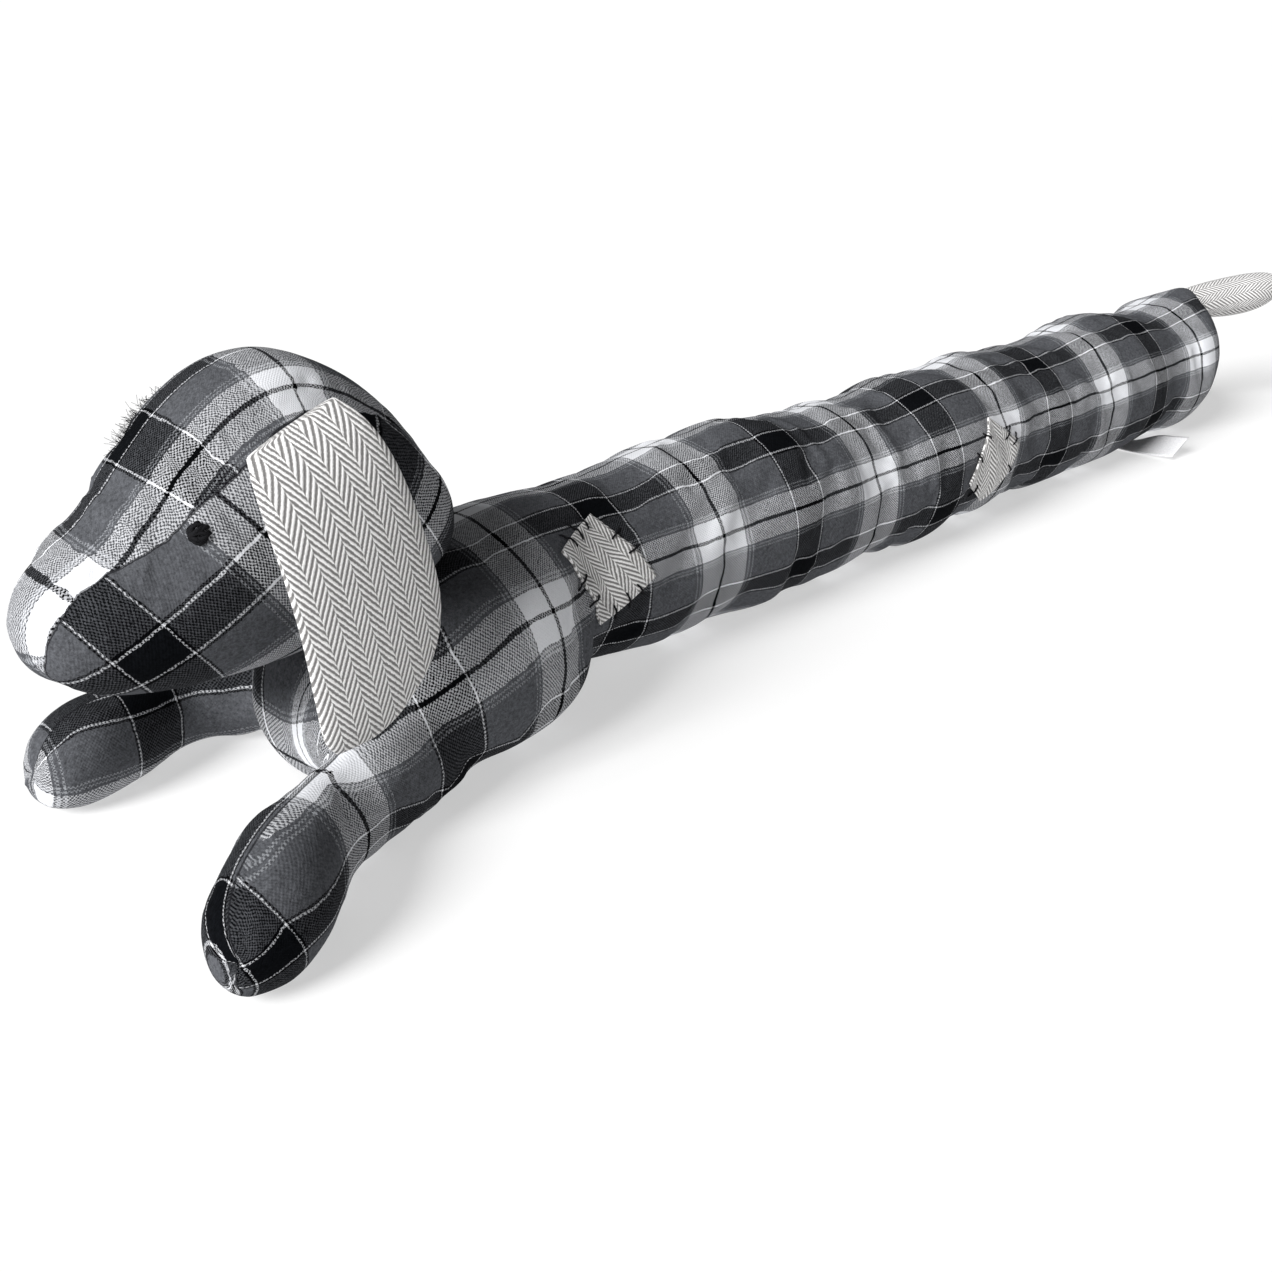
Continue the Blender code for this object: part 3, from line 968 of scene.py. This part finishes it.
# two layers that meet at a flat seam: the thickness is an arch from the front edge to the back one
def earSurface(mirrored):
    along = np.linspace(0, 1, ear["rows"])
    rows = throughRows(earRows, along * (len(earRows) - 1))
    frontX, frontZ, backX, backZ, side, thickness = (c[:, None] for c in rows.T)
    share = (1 - np.cos(np.linspace(0, np.pi, ear["across"]))) / 2
    share = np.concatenate([share, share[-2:0:-1]])[None]
    outer = np.concatenate([np.ones(ear["across"]), -np.ones(ear["across"] - 2)])[None]
    arch = (4 * share * (1 - share)) ** 0.45
    ends = np.minimum(1, np.minimum(along[:, None] / 0.03 + 0.25, (1 - along[:, None]) / 0.05)) ** 0.5
    across = side - outer * arch * ends * thickness / 2
    x = frontX + share * (backX - frontX)
    z = frontZ + share * (backZ - frontZ)
    width = np.hypot(backX - frontX, backZ - frontZ)
    lean = math.radians(ear["lean"])
    u = x * math.cos(lean) + z * math.sin(lean)
    v = z * math.cos(lean) - x * math.sin(lean)
    if mirrored:
        across = 2 * head["middle"] - across
        x = x + ear["rightBack"]
        sewnShare = 1 - smoothStep(along[:, None], 0.05, 0.4)
        z = z + ear["rightUp"] - ear["rightTop"] * sewnShare * share
    edge = np.minimum(share, 1 - share) * width
    return np.stack([x, across + 0 * x, z], -1), np.stack([u, v, edge + 0 * u], -1)


# keeps every point at least this far outside a surface
def keptOut(surface, points, gap):
    out = points.reshape(-1, 3).copy()
    for index, gapHere in zip(range(len(out)), np.broadcast_to(gap, len(out))):
        place, normal, _, _ = surface.find_nearest(Vector(out[index]))
        height = (Vector(out[index]) - place).dot(normal)
        if height < gapHere and (Vector(out[index]) - place).length < 0.03:
            out[index] = place + normal * gapHere
    return out.reshape(points.shape)


def makeEar(name, node, mirrored):
    points, coordinates = earSurface(mirrored)
    outward = points[:, :, 1] - points[:, :, 1].mean(1, keepdims=True)
    outward = outward * (1 if mirrored else -1)
    gap = np.where(outward > 0, ear["clearOutside"], ear["clearInside"]).ravel()
    points = keptOut(surfaceOf(headPiece), points, gap)
    mesh = gridMesh(name, points, around=True, caps=True, uv=coordinates)
    piece = newPiece(name, mesh, herringboneMaterial)
    finer(piece)
    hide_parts(node)
    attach(piece, "root")


makeEar("earLeftCloth", "ear_left", False)
makeEar("earRightCloth", "ear_right", True)
print("stage: ears")


# the tail

tail = {"rows": 40, "across": 16}  # rings along it, and points on half a ring

# from the end seam to the tip: x, y, half-width, lowest, highest
tailRows = [(0.402, 0.000, 0.007, 0.078, 0.097), (0.414, -0.002, 0.009, 0.076, 0.099),
            (0.431, -0.007, 0.012, 0.074, 0.101), (0.45, -0.014, 0.014, 0.073, 0.103),
            (0.467, -0.023, 0.014, 0.075, 0.105), (0.48, -0.031, 0.011, 0.08, 0.105),
            (0.488, -0.036, 0.006, 0.087, 0.101), (0.491, -0.038, 0.001, 0.092, 0.096)]


# a padded leaf: upright rings square to its middle line
def makeTail():
    along = np.linspace(0, 1, tail["rows"])
    rows = throughRows(tailRows, along * (len(tailRows) - 1))
    x, y, half, low, high = (c[:, None] for c in rows.T)
    heading = np.stack([np.gradient(rows[:, 0]), np.gradient(rows[:, 1])], 1)
    heading = unit(heading)
    angle = np.linspace(0, 2 * np.pi, 2 * tail["across"], endpoint=False)[None]
    sideways = np.sin(angle) * half
    points = np.stack([x + heading[:, 1:] * sideways, y - heading[:, :1] * sideways,
                       (low + high) / 2 + np.cos(angle) * (high - low) / 2], -1)
    travelled = np.concatenate([[0], np.cumsum(np.hypot(*np.diff(rows[:, :2], axis=0).T))])[:, None]
    around = angle * 0.5 * (half + (high - low) / 2)
    coordinates = np.stack([around, travelled + 0 * around, 0 * around], -1)
    mesh = gridMesh("tailCloth", points, around=True, caps=True, uv=coordinates)
    piece = newPiece("tailCloth", mesh, herringboneMaterial)
    finer(piece)
    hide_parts("tail")
    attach(piece, "root")


makeTail()
print("stage: tail")


# the patches and their stitches

patches = {
    "patch_shoulder": {"name": "patchShoulderCloth", "along": -0.236, "around": 64, "length": 0.038,
                       "height": 0.046, "turned": -26, "clothTurned": 0},
    "patch_back": {"name": "patchBackCloth", "along": 0.083, "around": 92, "length": 0.038,
                   "height": 0.044, "turned": 38, "clothTurned": 52},
}
patchThickness = 0.0012
patchGap = 0.0004
patchSide = 25  # points along each side


# the tube's surface at a place along it and an angle from its top, raised by lift
def onTubeSurface(surface, along, around, lift):
    outward = Vector((0, -math.sin(around), math.cos(around)))
    start = Vector((along, 0, body["middle"])) + outward * 0.2
    place, normal, _, _ = surface.ray_cast(start, -outward)
    return place + normal * lift


# places on a patch, from its middle, as places along the tube and angles round it
def patchPlaces(facts, u, v):
    turn = math.radians(facts["turned"])
    along = facts["along"] + u * math.cos(turn) - v * math.sin(turn)
    arc = u * math.sin(turn) + v * math.cos(turn)
    return along, math.radians(facts["around"]) + arc / body["middle"]


# a patch: a turned rectangle wrapped round the tube, just off its surface, and thickened
def makePatch(node, facts):
    surface = surfaceOf(bodyPiece)
    steps = np.linspace(-0.5, 0.5, patchSide)
    v, u = np.meshgrid(steps * facts["height"], steps * facts["length"], indexing="ij")
    along, around = patchPlaces(facts, u, v)
    lift = patchGap + patchThickness
    places = [onTubeSurface(surface, a, b, lift) for a, b in zip(along.ravel(), around.ravel())]
    points = np.array(places).reshape(patchSide, patchSide, 3)
    name = facts["name"]
    turn = math.radians(facts["clothTurned"])
    clothU = u * math.cos(turn) - v * math.sin(turn)
    clothV = u * math.sin(turn) + v * math.cos(turn)
    mesh = gridMesh(name, points, uv=np.stack([clothU, clothV, 0 * u], -1))
    middleNormal = np.array(mesh.polygons[len(mesh.polygons) // 2].normal)
    outward = points.mean((0, 1)) - np.array([facts["along"], 0, body["middle"]])
    if middleNormal @ outward < 0:
        mesh.flip_normals()
    piece = newPiece(name, mesh, herringboneMaterial)
    thickened(piece, patchThickness)
    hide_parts(node)
    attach(piece, "root")


# which edge of the patch, how far along it (0 to 1), and length in metres
stitches = {
    "patch_shoulder": [("top", 0.28, 0.01), ("top", 0.52, 0.011), ("top", 0.76, 0.009),
                       ("tail", 0.36, 0.01), ("tail", 0.62, 0.01), ("foot", 0.72, 0.01),
                       ("foot", 0.5, 0.012), ("foot", 0.26, 0.01), ("head", 0.36, 0.012),
                       ("head", 0.6, 0.01)],
    "patch_back": [("head", 0.62, 0.01), ("head", 0.3, 0.008), ("top", 0.58, 0.012),
                   ("top", 0.8, 0.01), ("foot", 0.45, 0.01), ("tail", 0.4, 0.01)],
}
# each edge's start and end, in half-sides from the patch's middle, and its outward direction
patchEdges = {
    "top": ((-1, -1), (1, -1), (0, -1)),
    "tail": ((1, -1), (1, 1), (1, 0)),
    "foot": ((-1, 1), (1, 1), (0, 1)),
    "head": ((-1, -1), (-1, 1), (-1, 0)),
}
yarn = {
    "radius": 0.00052,
    "slant": 0.22,  # how far a stitch may lean from square to the edge
    "rise": 1.4,  # height of its middle line over what it crosses, in radii
    "dip": 3.2,  # how far its ends go down, in radii
    "onPatch": 0.04,  # share of the stitch past the edge that is still lifted
}


# one stitch: yarn that leaves the cloth beside the patch, crosses the edge and goes in again;
# its height falls with the sixth power of the distance from its middle
def makeStitches(node, facts):
    surface = surfaceOf(bodyPiece)
    half = np.array([facts["length"], facts["height"]]) / 2
    meshes = []
    for number, (edge, share, length) in enumerate(stitches[node]):
        start, end, outward = (np.array(part) for part in patchEdges[edge])
        middle = half * start + share * (half * end - half * start)
        slant = yarn["slant"] * math.sin(5.0 * number + 1)
        direction = outward + slant * outward[::-1]
        path = []
        for step in np.linspace(-0.5, 0.5, 9):
            u, v = middle + direction * step * length
            along, around = patchPlaces(facts, u, v)
            over = patchThickness + patchGap if step < yarn["onPatch"] else patchGap / 2
            lift = over + yarn["radius"] * (yarn["rise"] - yarn["dip"] * abs(2 * step) ** 6)
            path.append(onTubeSurface(surface, along, around, lift))
        meshes.append(tubeMesh("stitch", np.array(path), yarn["radius"]))
    name = facts["name"].replace("patch", "stitches").replace("Cloth", "")
    piece = newPiece(name, joinMeshes("stitches", meshes), yarnMaterial)
    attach(piece, "root")


for node, facts in patches.items():
    makePatch(node, facts)
    makeStitches(node, facts)
print("stage: patches and stitches")


# the eyes

eye = {
    "turns": 9,
    "yarn": 0.0008,  # the yarn's radius
    "radius": 0.0036,
    "swell": 0.08,  # how much its radius comes and goes, as a share
    "tip": 0.29,  # how far each turn tips from the last
    "lift": -0.0004,  # the ball's middle, from the head's surface
}


# a knot: yarn wound over a small ball, its path a great circle that tips a little each turn
def makeEye(name, node):
    low, high = map(np.array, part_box(node))
    place, normal, _, _ = surfaceOf(headPiece).find_nearest(Vector((low + high) / 2))
    centre = np.array(place + normal * eye["lift"])
    angle = np.linspace(0, 2 * np.pi * eye["turns"], 40 * eye["turns"])
    tip = angle * eye["tip"]
    x = np.cos(angle)
    y = np.sin(angle) * np.cos(tip)
    z = np.sin(angle) * np.sin(tip)
    reach = eye["radius"] * (1 + eye["swell"] * np.sin(3.1 * angle))
    path = centre + np.stack([x, y, z], 1) * reach[:, None]
    piece = newPiece(name, tubeMesh(name, path, eye["yarn"]), yarnMaterial)
    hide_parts(node)
    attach(piece, "root")


makeEye("eyeLeftKnot", "eye_left")
makeEye("eyeRightKnot", "eye_right")
print("stage: eyes")


# the label

label = {
    "width": 0.024,
    "shows": 0.0485,  # length of tape outside the seam
    "thickness": 0.0006,
    "tilt": 24,  # degrees its far edge rises
    "rows": 41,
    "columns": 13,
}
labelLine = [(0.309, -0.014, 0.002), (0.309, -0.024, 0.001), (0.31, -0.036, 0.0008),
             (0.311, -0.049, 0.0016), (0.312, -0.062, 0.0034)]


# straight lines across, centred on a curved line and tilted by a smooth step of the place along
def makeLabel():
    line = throughRows(labelLine, np.linspace(0, len(labelLine) - 1, label["rows"]))
    share = np.linspace(0, 1, label["rows"])
    tilt = math.radians(label["tilt"]) * smoothStep(share, 0.1, 0.7)
    across = np.linspace(-0.5, 0.5, label["columns"])[None, :, None] * label["width"]
    across = across * np.stack([np.cos(tilt), 0 * tilt, np.sin(tilt)], 1)[:, None]
    points = line[:, None] + across
    points[..., 2] += 0.5 * label["width"] * np.sin(tilt)[:, None]
    sideways = across[..., 0]
    travelled = np.linspace(0, 0.05, label["rows"])[:, None] + 0 * sideways
    mesh = gridMesh("labelTape", points, uv=np.stack([sideways, travelled, 0 * sideways], -1))
    piece = newPiece("labelTape", mesh, tapeMaterial)
    thickened(piece, label["thickness"], offset=0)
    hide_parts("care_label")
    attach(piece, "root")


makeLabel()
print("stage: label")
